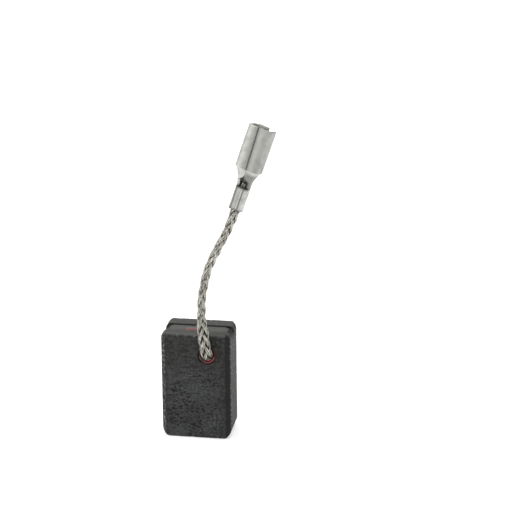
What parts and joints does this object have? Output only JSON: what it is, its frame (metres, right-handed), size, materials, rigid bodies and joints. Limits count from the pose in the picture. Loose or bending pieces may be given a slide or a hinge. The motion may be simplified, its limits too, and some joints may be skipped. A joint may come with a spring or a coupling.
{
  "type": "carbon brush",
  "caption": "Rectangular carbon brush with chamfered edges, spring groove, sealed cut-off pin, braided side lead and crimped receptacle terminal",
  "frame": {"origin": "centre of the contact face, which the brush stands on", "axes": "+Z from the contact face to the spring groove, +X across the 10 mm width, -Y out of the wide face that the lead leaves"},
  "size_m": [0.0163, 0.0079, 0.0465],
  "materials": {
    "carbon": "matte",
    "tinned_copper": "satin",
    "copper_powder": "matte",
    "red_lacquer": "gloss",
    "insulator": "satin",
    "spring_steel": "satin",
    "tinned_brass": "satin"
  },
  "bodies": {
    "root": {"carbon_block": "carbon", "shunt_braid": "tinned_copper", "tamped_fill": "copper_powder", "shunt_seal": "red_lacquer", "cutoff_pin": "insulator", "cutoff_spring": "spring_steel", "cutoff_seal": "red_lacquer", "terminal": "tinned_brass"}
  },
  "joints": []
}
